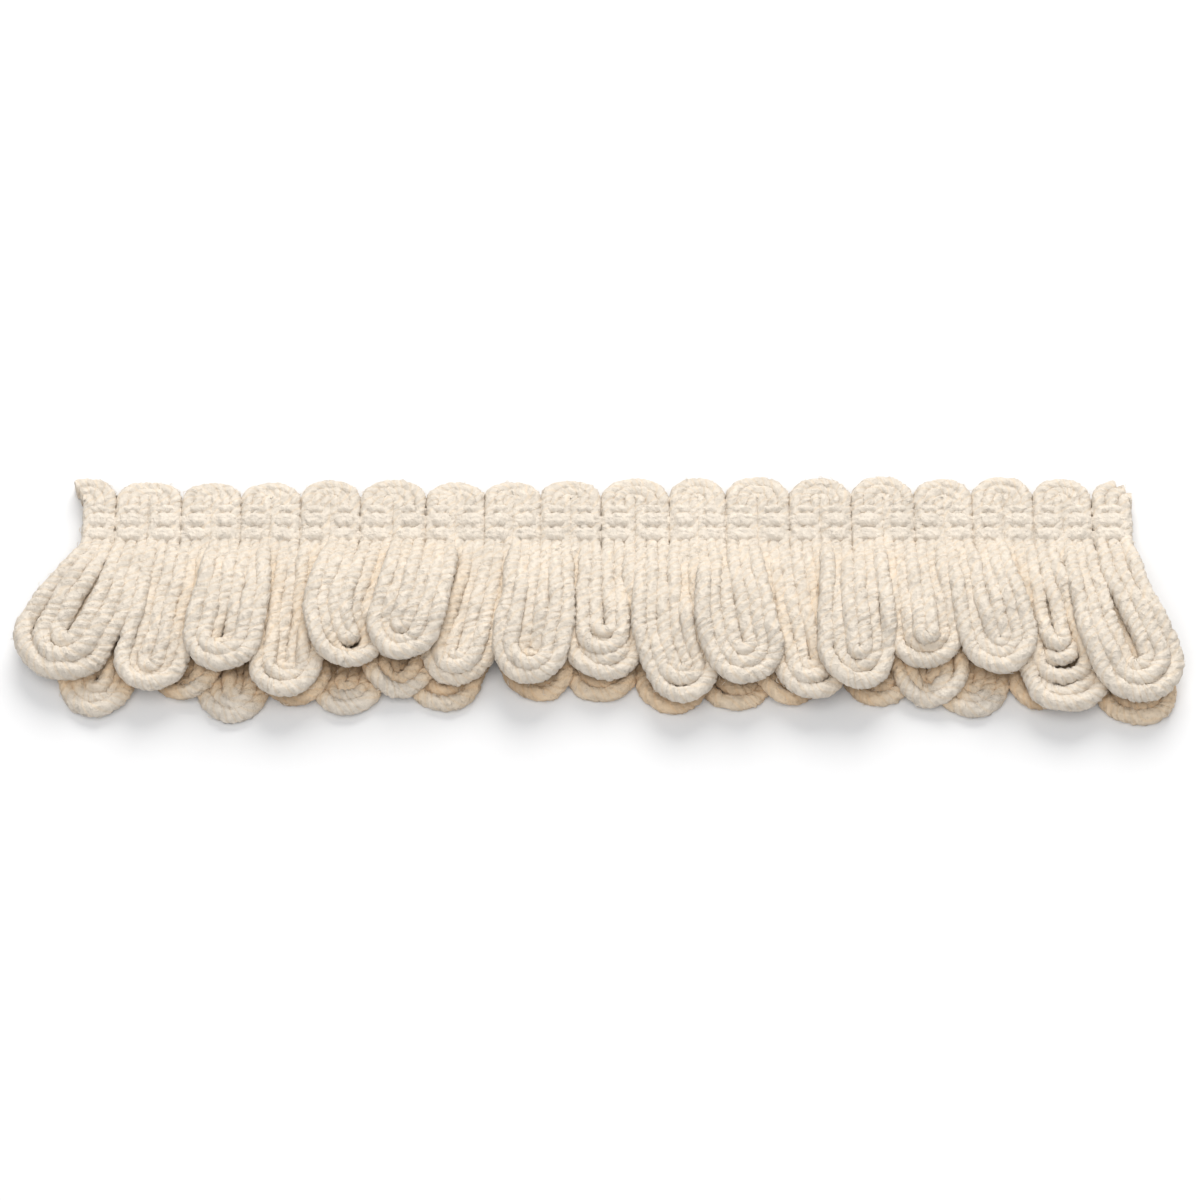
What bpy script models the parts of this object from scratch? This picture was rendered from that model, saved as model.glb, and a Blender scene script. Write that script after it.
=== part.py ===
"""A cut length of looped fringe that lies on a table, its scalloped heading at the back, its loops in front.

Sizes below are in millimetres and become metres as each mesh is made. +X runs along the fringe, -Y points
to the tips of the loops and +Z is up. The origin is under the heading, midway along the fringe.
"""

import math
from collections import namedtuple

import bpy
import numpy as np

MM = 0.001

# Widths of the whole scallops from -X to +X, and of the cut one at each end.
SCALLOP_WIDTHS = (8.7, 7.8, 7.8, 7.8, 8.7, 7.7, 7.3, 7.9, 9.1, 7.3, 8.4, 8.1, 8.3, 7.6, 8.0, 7.6)
END_SCALLOP = 8.0
YARNS = 3

# Heading: legs that run back from the front edge and turn over in an arch, on a flat bed.
HEADING_FRONT = -4.5
HEADING_BACK = 4.6
ARCH_START = 1.5
ARCH_SQUARENESS = 2.4
ARCH_STEPS = 6
END_ARCH_CUT = math.radians(65.0)
COLUMN_GAP = 0.12
LEG_BASE = 0.25
LEG_SIDE = 2.35
MIDDLE_CREST = 3.15
OUTER_CREST = 2.95
GROOVE = 2.55
ARCH_FALL = 0.45
BED_TOP = 2.15
BED_BACK = 2.0
BED_FRONT = -4.4
BED_MARGIN = 3.8

# Cords that bind the heading: place along Y, width and thickness.
WarpCord = namedtuple("WarpCord", "name across width thickness")
WARP_CORDS = (
    WarpCord("warp_cord_back", 0.4, 0.8, 0.7),
    WarpCord("warp_cord_middle", -1.2, 1.2, 0.9),
    WarpCord("warp_cord_front", -3.6, 1.4, 1.1),
)
WARP_MARGIN = 3.4
WARP_CLEARANCE = 0.3
WARP_DIP = 0.35
WARP_BROW = 0.25

# Skirts: the roots of the loops are fused into a strip in front of the heading. Halves are half thicknesses of
# a yarn, and the lean share says how far along its lean a loop is halfway to its tip.
STRIP_BACK = -4.8
STRIP_FRONT = -5.8
STRIP_BELOW = 0.7
STRIP_ABOVE = 0.9
ROOT_DEPTH = 0.5
MOST_ROOT_HALF = 0.56
ROOT_RISES = (-0.05, 0.07, 0.0)
BELLY_SPACING = 1.6
SLOT_HALF = 0.85
HALF_SHARE = 0.46
LEG_STATIONS = (0.0, 0.25, 0.6, 1.0)
BEND_STEPS = 6
WIDEN_FROM = 0.2
WIDEN_TO = 0.85
TIP_DROOP = 0.3
LEAN_HALFWAY = 0.15

# Clear height left over a yarn of the same skirt and over one of the skirt below.
YARN_GAP = 0.2
SKIRT_GAP = 0.44
SAMPLES = 14
EASIEST_LIFT = 0.4
TILT = 0.8

# One row for each loop from -X to +X. lean: how far the tip lies along +X from the root. reach: from the
# heading's front edge to the tip. crown and tip: height of the yarns halfway and at the tip, unless what is
# beneath lifts them. slot: extra opening of the loop. nest: how much shorter each inner yarn is than one
# that lies against its neighbour. layer: a loop lies over those of a lower layer.
Loop = namedtuple("Loop", "lean reach crown tip slot nest layer")
UPPER_TABLE = (
    Loop(-5.5, 20.8, 5.0, 4.2, 1.6, 0.0, 1),
    Loop(-2.9, 22.2, 4.2, 3.4, 0.0, 0.0, 0),
    Loop(-1.4, 19.9, 5.8, 4.8, 0.2, 0.0, 1),
    Loop(-1.1, 23.2, 4.2, 3.2, 0.0, 0.0, 0),
    Loop(-2.5, 19.8, 6.0, 5.2, 0.1, 0.0, 1),
    Loop(-2.4, 18.4, 7.2, 5.8, 0.0, 0.6, 2),
    Loop(-3.3, 20.9, 4.2, 3.4, 0.0, 0.0, 0),
    Loop(-1.1, 21.3, 5.6, 4.4, 0.3, 0.4, 1),
    Loop(0.4, 20.4, 4.2, 3.6, 0.2, 2.0, 0),
    Loop(0.6, 23.7, 5.2, 3.6, 0.0, 0.0, 1),
    Loop(1.8, 21.6, 4.2, 3.8, 0.3, 0.3, 0),
    Loop(2.0, 23.1, 5.2, 3.6, 0.2, 0.8, 1),
    Loop(0.2, 21.9, 6.2, 4.8, 0.2, 0.0, 2),
    Loop(0.7, 19.1, 5.0, 4.6, 0.0, 0.0, 0),
    Loop(2.6, 20.0, 6.0, 5.0, 0.0, 0.0, 1),
    Loop(3.1, 24.7, 4.2, 3.0, 0.4, 1.8, 0),
    Loop(6.0, 24.3, 5.4, 4.2, 0.3, 0.0, 1),
)
LOWER_TABLE = (
    Loop(-1.3, 24.1, 0.9, 0.8, 0.4, 0.0, 0),
    Loop(1.3, 22.4, 1.8, 0.9, 0.0, 0.0, 1),
    Loop(-0.3, 25.4, 0.9, 0.8, 0.0, 0.0, 0),
    Loop(0.0, 23.2, 1.8, 0.9, 0.0, 0.0, 1),
    Loop(-1.3, 24.1, 0.9, 0.8, 0.2, 0.0, 0),
    Loop(-3.0, 22.0, 1.8, 0.9, 0.0, 0.0, 1),
    Loop(-5.0, 23.5, 0.9, 0.8, 0.2, 0.0, 0),
    Loop(0.1, 21.8, 1.8, 0.9, 0.2, 0.0, 1),
    Loop(0.0, 22.4, 0.9, 0.8, 0.2, 0.0, 0),
    Loop(0.6, 23.6, 1.8, 0.9, 0.0, 0.0, 1),
    Loop(1.2, 23.2, 0.9, 0.8, 0.2, 0.0, 0),
    Loop(-0.8, 22.8, 1.8, 0.9, 0.2, 0.0, 1),
    Loop(3.0, 22.8, 0.9, 0.8, 0.0, 0.0, 0),
    Loop(1.2, 23.0, 1.8, 0.9, 0.2, 0.0, 1),
    Loop(-0.9, 24.3, 0.9, 0.8, 0.0, 0.0, 0),
    Loop(0.6, 23.2, 1.8, 0.9, 0.2, 0.0, 1),
    Loop(4.7, 25.3, 0.9, 0.8, 0.4, 0.0, 0),
)

# The lower skirt is laid first, and the upper one lies on it.
Skirt = namedtuple("Skirt", "name table root_height")
SKIRTS = (
    Skirt("lower_loops", LOWER_TABLE, 1.05),
    Skirt("upper_loops", UPPER_TABLE, 3.0),
)

COTTON_COLOUR = (0.80, 0.70, 0.57)
BINDING_COLOUR = (0.84, 0.75, 0.62)
COTTON_ROUGHNESS = 0.9
SMOOTH_UP_TO = math.radians(40.0)


def scallop_bounds():
    """Where along X each whole scallop begins, and where the last one ends."""
    bounds = [-sum(SCALLOP_WIDTHS) / 2.0]
    for width in SCALLOP_WIDTHS:
        bounds.append(bounds[-1] + width)
    return bounds


BOUNDS = scallop_bounds()


def ease(value):
    """0 up to 0, 1 from 1 on, and an even S between them."""
    clipped = min(1.0, max(0.0, value))
    return clipped * clipped * (3.0 - 2.0 * clipped)


def make_material(name, colour):
    material = bpy.data.materials.new(name)
    material.use_nodes = True
    shader = material.node_tree.nodes["Principled BSDF"]
    shader.inputs["Base Color"].default_value = (*colour, 1.0)
    shader.inputs["Roughness"].default_value = COTTON_ROUGHNESS
    shader.inputs["Metallic"].default_value = 0.0
    return material


def make_object(name, points, faces, colour):
    mesh = bpy.data.meshes.new(name)
    mesh.from_pydata([tuple(MM * value for value in point) for point in points], [], faces)
    mesh.shade_smooth()
    mesh.set_sharp_from_angle(angle=SMOOTH_UP_TO)
    mesh.materials.append(make_material(name, colour))
    made = bpy.data.objects.new(name, mesh)
    bpy.context.scene.collection.objects.link(made)
    return made


def fuse(base, pieces):
    """Joins the pieces to the base as one solid."""
    pieces.hide_render = True
    pieces.display_type = "WIRE"
    union = base.modifiers.new("Fuse", "BOOLEAN")
    union.operation = "UNION"
    union.solver = "EXACT"
    union.object = pieces


def tube_faces(rings, corners, first=0):
    """Side and end faces of a tube whose rings of corners are listed one after the other."""
    faces = []
    for ring in range(rings - 1):
        for corner in range(corners):
            here = first + ring * corners + corner
            beside = first + ring * corners + (corner + 1) % corners
            faces.append((here, beside, beside + corners, here + corners))
    faces.append(tuple(first + corner for corner in reversed(range(corners))))
    faces.append(tuple(first + (rings - 1) * corners + corner for corner in range(corners)))
    return faces


def make_bar(name, margin, front, back, bottom, top):
    """A straight bar along the fringe, divided where the scallops meet."""
    stations = [BOUNDS[0] - margin, *BOUNDS, BOUNDS[-1] + margin]
    ring = ((front, bottom), (back, bottom), (back, top), (front, top))
    points = [(x, y, z) for x in stations for y, z in ring]
    return make_object(name, points, tube_faces(len(stations), len(ring)), COTTON_COLOUR)


def arch_point(middle, width, share, angle):
    """A point of an arch seen from above. Share is 0 at its inner edge and 1 at its outer edge."""
    outer = width / 2.0 - COLUMN_GAP / 2.0
    half_width = COLUMN_GAP + share * (outer - COLUMN_GAP)
    rise = COLUMN_GAP + share * (HEADING_BACK - ARCH_START - COLUMN_GAP)
    power = 2.0 / ARCH_SQUARENESS
    across = math.copysign(abs(math.cos(angle)) ** power, math.cos(angle))
    along = abs(math.sin(angle)) ** power
    return middle - across * half_width, ARCH_START + along * rise


def band_section(fall):
    """Share across the band and height of each corner of its section: three yarns side by side."""
    section = [(0.0, LEG_BASE), (1.0, LEG_BASE), (1.0, LEG_SIDE - fall)]
    for yarn in reversed(range(YARNS)):
        crest = MIDDLE_CREST if yarn == YARNS // 2 else OUTER_CREST
        section.append(((yarn + 0.5) / YARNS, crest - fall))
        if yarn:
            section.append((yarn / YARNS, GROOVE - fall))
    section.append((0.0, LEG_SIDE - fall))
    return section


def arch_band(middle, width, start, end):
    """Rings of one scallop's band of yarns, which turns from one angle of its arch to another."""
    rings = []
    angles = [start + (end - start) * step / ARCH_STEPS for step in range(ARCH_STEPS + 1)]
    for angle in angles:
        section = band_section(ARCH_FALL * math.sin(angle))
        rings.append([(*arch_point(middle, width, share, angle), height) for share, height in section])
    if start == 0.0:
        rings.insert(0, [(x, HEADING_FRONT, z) for x, _, z in rings[0]])
    if end == math.pi:
        rings.append([(x, HEADING_FRONT, z) for x, _, z in rings[-1]])
    return rings


def make_heading():
    """The bands of all the scallops on one flat bed."""
    bands = [
        arch_band(left + width / 2.0, width, 0.0, math.pi)
        for left, width in zip(BOUNDS, SCALLOP_WIDTHS)
    ]
    bands.append(arch_band(BOUNDS[0] - END_SCALLOP / 2.0, END_SCALLOP, END_ARCH_CUT, math.pi))
    bands.append(arch_band(BOUNDS[-1] + END_SCALLOP / 2.0, END_SCALLOP, 0.0, math.pi - END_ARCH_CUT))
    points, faces = [], []
    for rings in bands:
        faces += tube_faces(len(rings), len(rings[0]), len(points))
        points += [corner for ring in rings for corner in ring]
    columns = make_object("heading_bands", points, faces, COTTON_COLOUR)
    fuse(make_bar("heading", BED_MARGIN, BED_FRONT, BED_BACK, 0.0, BED_TOP), columns)


def column_edges():
    """Where along X one leg of the heading ends and the next begins, with the ends of the cords."""
    edges = [BOUNDS[0] - WARP_MARGIN]
    for left, width in zip(BOUNDS, SCALLOP_WIDTHS):
        edges += [left, left + width / 2.0]
    return edges + [BOUNDS[-1], BOUNDS[-1] + WARP_MARGIN]


def make_warp_cord(cord):
    """A cord that passes flat over each leg of the heading and dips between two of them."""
    edges = column_edges()
    stations = []
    for left, right in zip(edges[:-1], edges[1:]):
        quarter = (right - left) / 4.0
        stations += [(left, WARP_DIP), (left + quarter, 0.0), (right - quarter, 0.0)]
    stations.append((edges[-1], WARP_DIP))
    points = []
    for x, dip in stations:
        low = MIDDLE_CREST + WARP_CLEARANCE - dip
        high = low + cord.thickness
        half = cord.width / 2.0
        brow = half - WARP_BROW
        ring = ((-half, low), (half, low), (brow, high), (-brow, high))
        points += [(x, cord.across + offset, height) for offset, height in ring]
    make_object(cord.name, points, tube_faces(len(stations), 4), BINDING_COLOUR)


def leg_widths(index):
    """Widths of the two heading legs that run into a loop, on its -X and its +X side."""
    widths = (END_SCALLOP, *SCALLOP_WIDTHS, END_SCALLOP)
    return widths[index] / 2.0, widths[index + 1] / 2.0


def yarn_path(loop, index, yarn, root_height):
    """Centreline of a yarn of a loop from root to root, and its half thickness at each point."""
    root = np.array([BOUNDS[index], STRIP_FRONT + ROOT_DEPTH])
    belly = SLOT_HALF + loop.slot / 2.0 + yarn * BELLY_SPACING
    widest = SLOT_HALF + loop.slot / 2.0 + (YARNS - 1 + HALF_SHARE) * BELLY_SPACING
    tip = np.array([root[0] + loop.lean, HEADING_FRONT - loop.reach + widest])
    guide = np.array([root[0] + LEAN_HALFWAY * loop.lean, (root[1] + tip[1]) / 2.0])
    root_height += ROOT_RISES[yarn]
    crown_guide = 2.0 * loop.crown - (root_height + loop.tip) / 2.0
    shorter = loop.nest * (YARNS - 1 - yarn) / np.linalg.norm(tip - root)

    def middle(along):
        back = 1.0 - along
        place = back * back * root + 2.0 * back * along * guide + along * along * tip
        height = back * back * root_height + 2.0 * back * along * crown_guide + along * along * loop.tip
        onward = 2.0 * back * (guide - root) + 2.0 * along * (tip - guide)
        onward /= np.linalg.norm(onward)
        return place, height, onward, np.array([-onward[1], onward[0]])

    def leg(side, share):
        along = share * (1.0 - shorter)
        place, height, _, across = middle(along)
        spacing = leg_widths(index)[0 if side < 0 else 1] / YARNS
        at_root = spacing * (yarn + 0.5)
        widened = ease((share - WIDEN_FROM) / (WIDEN_TO - WIDEN_FROM))
        offset = at_root + (belly - at_root) * widened
        root_half = min(MOST_ROOT_HALF, HALF_SHARE * spacing)
        half = root_half + (HALF_SHARE * BELLY_SPACING - root_half) * widened
        return (*(place + side * offset * across), height), half

    stations = [leg(-1.0, share) for share in LEG_STATIONS]
    place, height, onward, across = middle(1.0 - shorter)
    for step in range(1, BEND_STEPS):
        angle = math.pi * step / BEND_STEPS
        spot = place + belly * (math.sin(angle) * onward - math.cos(angle) * across)
        drooped = height - TIP_DROOP * yarn * math.sin(angle)
        stations.append(((*spot, drooped), HALF_SHARE * BELLY_SPACING))
    stations += [leg(1.0, share) for share in reversed(LEG_STATIONS)]
    path = np.array([station[0] for station in stations])
    halves = np.array([station[1] for station in stations])
    path[:, 2] = np.maximum(path[:, 2], halves)
    return path, halves


def height_needed(spots, sizes, laid, gap):
    """How high the centre of a yarn must be at each spot to clear the yarns that are laid there."""
    start, run = laid["start"], laid["end"] - laid["start"]
    span = (run[:, :2] ** 2).sum(axis=1)
    share = ((spots[:, None, :2] - start[None, :, :2]) * run[None, :, :2]).sum(axis=2) / span
    share = np.clip(share, 0.0, 1.0)
    nearest = start[None] + share[:, :, None] * run[None]
    apart = np.linalg.norm(spots[:, None, :2] - nearest[:, :, :2], axis=2)
    reach = sizes[:, None] + laid["size"][None]
    return np.where(apart < reach, nearest[:, :, 2] + reach - apart + gap, 0.0).max(axis=1)


def lift_needed(path, halves, laid, gap):
    """How far each point of a yarn has to rise, found at even samples between the points."""
    lift = np.zeros(len(path))
    if not len(laid["size"]):
        return lift
    for first in range(len(path) - 1):
        shares = (np.arange(SAMPLES) + 0.5) / SAMPLES
        spots = path[first] + shares[:, None] * (path[first + 1] - path[first])
        sizes = halves[first] + shares * (halves[first + 1] - halves[first])
        lack = np.maximum(0.0, height_needed(spots, sizes, laid, gap) - spots[:, 2])
        if first == 0:
            lack /= np.maximum(shares, EASIEST_LIFT)
        if first == len(path) - 2:
            lack /= np.maximum(1.0 - shares, EASIEST_LIFT)
        lift[first] = max(lift[first], lack.max())
        lift[first + 1] = max(lift[first + 1], lack.max())
    lift[[0, -1]] = 0.0
    return lift


def shared_lift(lifts):
    """Spreads the rise of one yarn to its neighbours in the loop, so that the loop tilts as one."""
    spread = lifts.copy()
    for _ in range(YARNS - 1):
        spread[1:] = np.maximum(spread[1:], spread[:-1] - TILT)
        spread[:-1] = np.maximum(spread[:-1], spread[1:] - TILT)
    return np.maximum(spread, 0.0)


def add_laid(laid, yarns):
    """The segments of the yarns laid so far, with those of more yarns."""
    starts = [path[:-1] for path, _ in yarns]
    ends = [path[1:] for path, _ in yarns]
    sizes = [np.maximum(halves[:-1], halves[1:]) for _, halves in yarns]
    return {
        "start": np.concatenate([laid["start"], *starts]),
        "end": np.concatenate([laid["end"], *ends]),
        "size": np.concatenate([laid["size"], *sizes]),
    }


def lay_skirts():
    """The yarns of both skirts by the skirt's name, each loop laid in turn on what is beneath it."""
    below = {"start": np.zeros((0, 3)), "end": np.zeros((0, 3)), "size": np.zeros(0)}
    skirts = {}
    for skirt in SKIRTS:
        laid = {key: values[:0] for key, values in below.items()}
        skirts[skirt.name] = []
        for index in sorted(range(len(skirt.table)), key=lambda place: skirt.table[place].layer):
            loop = skirt.table[index]
            yarns = [yarn_path(loop, index, yarn, skirt.root_height) for yarn in range(YARNS)]
            lifts = [
                np.maximum(
                    lift_needed(path, halves, below, SKIRT_GAP),
                    lift_needed(path, halves, laid, YARN_GAP),
                )
                for path, halves in yarns
            ]
            for (path, _), lift in zip(yarns, shared_lift(np.array(lifts))):
                path[:, 2] += lift
            laid = add_laid(laid, yarns)
            skirts[skirt.name] += yarns
        below = {key: np.concatenate([below[key], laid[key]]) for key in below}
    return skirts


def yarn_rings(path, halves):
    """Corners of a four-sided yarn that stands on one edge, with mitred bends."""
    steps = np.diff(path[:, :2], axis=0)
    steps /= np.linalg.norm(steps, axis=1, keepdims=True)
    before = np.concatenate([steps[:1], steps])
    after = np.concatenate([steps, steps[-1:]])
    between = before + after
    between /= np.linalg.norm(between, axis=1, keepdims=True)
    mitre = (between * after).sum(axis=1)
    points = []
    for spot, direction, half, shrink in zip(path, between, halves, mitre):
        wide = half / shrink * np.array([-direction[1], direction[0]])
        for side, up in ((0, -1), (1, 0), (0, 1), (-1, 0)):
            points.append((spot[0] + side * wide[0], spot[1] + side * wide[1], spot[2] + up * half))
    return points


def make_skirt(skirt, yarns):
    """The loops of one skirt, fused at their roots into a narrow strip."""
    points, faces = [], []
    for path, halves in yarns:
        faces += tube_faces(len(path), 4, len(points))
        points += yarn_rings(path, halves)
    loops = make_object(skirt.name + "_yarns", points, faces, COTTON_COLOUR)
    bottom = skirt.root_height - STRIP_BELOW
    top = skirt.root_height + STRIP_ABOVE
    fuse(make_bar(skirt.name, END_SCALLOP / 2.0, STRIP_FRONT, STRIP_BACK, bottom, top), loops)


def main():
    for old in list(bpy.data.objects):
        bpy.data.objects.remove(old)
    make_heading()
    for cord in WARP_CORDS:
        make_warp_cord(cord)
    yarns = lay_skirts()
    for skirt in SKIRTS:
        make_skirt(skirt, yarns[skirt.name])


main()
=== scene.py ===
import math
from collections import namedtuple

import bpy
import numpy as np
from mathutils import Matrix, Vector


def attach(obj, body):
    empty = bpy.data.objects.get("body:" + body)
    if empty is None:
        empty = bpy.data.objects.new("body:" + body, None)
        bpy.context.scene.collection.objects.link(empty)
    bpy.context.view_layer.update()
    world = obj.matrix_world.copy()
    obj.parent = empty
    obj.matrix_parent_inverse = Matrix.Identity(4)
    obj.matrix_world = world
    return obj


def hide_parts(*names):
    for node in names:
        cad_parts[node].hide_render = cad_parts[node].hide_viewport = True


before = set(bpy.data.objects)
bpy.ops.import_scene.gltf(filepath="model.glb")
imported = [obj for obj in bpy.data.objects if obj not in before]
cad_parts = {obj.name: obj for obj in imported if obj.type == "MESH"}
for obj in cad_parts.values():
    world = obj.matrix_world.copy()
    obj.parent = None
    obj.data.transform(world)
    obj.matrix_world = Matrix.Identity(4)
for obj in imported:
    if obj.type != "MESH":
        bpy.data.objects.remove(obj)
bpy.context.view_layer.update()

mm = 0.001
print("frame loaded:", ", ".join(sorted(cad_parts)))


# plan of the fringe, in millimetres: +X along it, -Y towards the tips of the loops, +Z up
fringe = {
    "scallopWidths": (8.7, 7.8, 7.8, 7.8, 8.7, 7.7, 7.3, 7.9, 9.1, 7.3, 8.4, 8.1, 8.3, 7.6, 8.0, 7.6),
    "endScallops": (8.0, 10.4),
    "front": -4.5,            # front edge of the heading
    "back": 4.6,              # crests of the arches
    "archStart": 1.7,
    "archSquareness": 2.25,
    "archRises": (0.4, -0.15, -0.3, -0.3, 0.15, 0.3, -0.3, -0.15, 0.15,
                  0.45, 0.6, 0.8, 0.6, 0.9, 0.45, 0.8, 0.45, 0.6),
    "archFall": 0.6,
    "pack": 0.95,             # how closely the three yarns of a leg are drawn together
    "leftCut": 65.0,          # degrees of the first arch that were cut away
    "rightCuts": (66.0, 78.0, 105.0),   # degrees of the last arch that are left of each yarn
    "gather": 0.12,           # the two legs of an arch stand closer to each other than to their neighbours
    "yarns": 3,
    "yarnRadius": 0.75,       # for laying and settling; the yarns are drawn thicker, see yarnPiece
    "legSquash": 0.90,        # how thick the yarns are inside the heading
    "legPinch": 0.05,         # how far the binding presses them down
    "belly": 1.46,            # spacing of the nested yarns
    "slotHalf": 0.82,
    "widenFrom": 0.12,
    "widenTo": 0.85,
    "tipDroop": 0.12,
    "tipLift": 0.7,           # the upper tips stand a little off the lower ones
    "tipReach": 0.2,
    "leanHalfway": 0.15,
    "step": 0.8,              # distance between points of a settled yarn
    "legPoints": 30,
    "tipPoints": 22,
    "fillFrom": 1.0,          # loops nested more than this are filled from beneath
    "fillSlot": 0.25,         # and so are slots wider than this
    "fillDepth": 1.25,
    # painted shade: yarns that lie under other yarns are coloured darker and warmer; these set how far it reaches and
    # how strong it is
    "paintedShadeReach": 1.8,
    "paintedShadeStrength": 0.22,
    "paintedShadeShares": {"lower": 0.9, "upper": 0.38},
    "headingPaintedShade": 0.25,     # share of it that is left in the heading
    "jumble": (0.45, 0.18, 0.45),   # how unevenly the inner yarns of a loop nest: in reach, spread and height
    "nestDraws": 20,          # random draws for each tier, more than it has loops
    "waver": 0.19,
    "seed": 11,
}

# lean: how far the tip lies along +X from the root; reach: heading's front edge to the tip; crown and tip:
# heights halfway and at the tip; slot: extra opening; nest: how much shorter each inner yarn is; layer: what
# lies over what; hook: share of the lean that comes at the tip; gape: opening inside the outermost yarn;
# roll: degrees by which the tip is turned over, its +X side down; bulk: looseness; curl: how far the rims step down
loopRow = namedtuple("loopRow", "lean reach crown tip slot nest layer hook gape roll bulk curl",
                     defaults=(0.0, 1.0, 1.0))
upperRows = (
    loopRow(-5.2, 19.9, 5.0, 3.4, 1.3, 0.0, 1, 0.0, 0.3, 0.0, 1.24),
    loopRow(-2.9, 22.2, 4.2, 3.4, 0.0, 0.0, 0, 0.0, 0.0),
    loopRow(-1.4, 19.9, 5.4, 4.6, 0.1, 0.0, 1, 0.0, 0.0, 0.0, 1.06),
    loopRow(-1.1, 23.2, 4.2, 3.2, 0.0, 0.0, 0, 0.0, 0.0),
    loopRow(-0.9, 19.6, 5.5, 4.4, 0.0, 0.0, 1, 4.2, 0.0, 14.0),
    loopRow(-2.4, 18.4, 6.3, 5.2, 0.0, 0.0, 2, 0.0, 0.0, -12.0, 1.04, 2.2),
    loopRow(-3.3, 20.9, 4.2, 3.4, 0.0, 0.0, 0, 0.0, 0.0),
    loopRow(-1.1, 21.3, 5.2, 4.2, 0.2, 0.0, 1, 0.0, 0.0, 0.0, 1.04),
    loopRow(0.4, 20.4, 4.2, 3.6, 0.2, 1.5, 0, 0.0, 0.0),
    loopRow(1.3, 23.7, 5.2, 3.6, 0.0, 0.0, 1, 2.6, 0.0),
    loopRow(1.8, 21.6, 5.4, 4.4, 0.6, 0.0, 2, 0.0, 0.0, 0.0, 1.06),
    loopRow(2.4, 23.1, 4.4, 3.4, 0.4, 0.2, 0, 0.0, 0.0),
    loopRow(0.2, 21.9, 5.7, 4.6, 0.0, 0.0, 2, 0.0, 0.0, 0.0, 1.04),
    loopRow(0.7, 19.1, 5.0, 4.6, 0.0, 0.0, 0, 0.0, 0.0),
    loopRow(2.6, 20.0, 5.6, 4.7, 0.0, 0.0, 1, 0.0, 0.0, 0.0, 1.06),
    loopRow(3.1, 24.4, 4.2, 3.0, 1.0, 2.0, 0, 0.0, 0.3, 0.0, 1.06),
    loopRow(4.7, 23.5, 5.2, 4.0, 1.1, 0.0, 1, 0.0, 0.0, 0.0, 1.16),
)
lowerRows = (
    loopRow(-1.3, 24.1, 0.9, 0.8, 0.4, 0.0, 0, 0.0, 0.0),
    loopRow(1.3, 22.4, 1.8, 0.9, 0.0, 0.0, 1, 0.0, 0.0),
    loopRow(-0.3, 25.4, 0.9, 0.8, 0.0, 0.0, 0, 0.0, 0.0),
    loopRow(0.0, 23.2, 1.8, 0.9, 0.0, 0.0, 1, 0.0, 0.0),
    loopRow(-1.3, 24.1, 0.9, 0.8, 0.2, 0.0, 0, 0.0, 0.0),
    loopRow(-3.0, 22.0, 1.8, 0.9, 0.0, 0.0, 1, 0.0, 0.0),
    loopRow(-5.0, 23.5, 0.9, 0.8, 0.2, 0.0, 0, 0.0, 0.0),
    loopRow(0.1, 21.8, 1.8, 0.9, 0.2, 0.0, 1, 0.0, 0.0),
    loopRow(0.0, 22.4, 0.9, 0.8, 0.2, 0.0, 0, 0.0, 0.0),
    loopRow(0.6, 23.6, 1.8, 0.9, 0.0, 0.0, 1, 0.0, 0.0),
    loopRow(1.2, 23.2, 0.9, 0.8, 0.2, 0.0, 0, 0.0, 0.0),
    loopRow(-0.8, 22.8, 1.8, 0.9, 0.2, 0.0, 1, 0.0, 0.0),
    loopRow(3.0, 22.8, 0.9, 0.8, 0.0, 0.0, 0, 0.0, 0.0),
    loopRow(1.2, 23.0, 1.8, 0.9, 0.2, 0.0, 1, 0.0, 0.0),
    loopRow(-0.9, 24.3, 0.9, 0.8, 0.0, 0.0, 0, 0.0, 0.0),
    loopRow(0.6, 23.2, 1.8, 0.9, 0.2, 0.0, 1, 0.0, 0.0),
    loopRow(4.7, 25.3, 0.9, 0.8, 0.4, 0.0, 0, 0.0, 0.0),
)
tierRow = namedtuple("tierRow", "name rows height")
tiers = (
    tierRow("lower", lowerRows, 0.86),
    tierRow("upper", upperRows, 2.3),
)

bounds = [-sum(fringe["scallopWidths"]) / 2.0]
for width in fringe["scallopWidths"]:
    bounds.append(bounds[-1] + width)


# rows of binding thread over the face of the heading: place along Y, threads side by side, and how far short
# of the right end they stop
bindingRow = namedtuple("bindingRow", "across threads radius short")
binding = {
    "rows": (bindingRow(0.4, 1, 0.58, 0.5), bindingRow(-1.3, 2, 0.76, 0.2), bindingRow(-3.45, 2, 0.74, 0.4)),
    "pack": 0.64,             # spacing of threads side by side, in radii
    "top": 2.8,
    "dip": 1.15,
    "flatness": 2.3,
    "underTop": 0.3,          # the threads beneath the heading, which rise between the legs
    "underDip": -0.5,
    "step": 0.35,
    "swell": 1.14,            # how much thicker the threads are drawn than their spacing says
    "seed": 40,
}


# routes of the yarns; nesting holds how unevenly each yarn of each loop lies, the outermost only in height
nestShape = (len(tiers), fringe["nestDraws"], fringe["yarns"], 3)
nesting = np.random.default_rng(fringe["seed"] + 1).uniform(-1.0, 1.0, nestShape)
nesting[:, :, -1, :2] = 0.0


def ease(value):
    clipped = np.clip(value, 0.0, 1.0)
    return clipped * clipped * (3.0 - 2.0 * clipped)


def legOffset(width, yarn):
    # how far a yarn's leg stands from the middle of its loop, in a scallop of that width
    middle = (fringe["yarns"] - 1) / 2.0
    return width / 4.0 + (yarn - middle) * width / 2.0 / fringe["yarns"] * fringe["pack"] + fringe["gather"]


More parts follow.
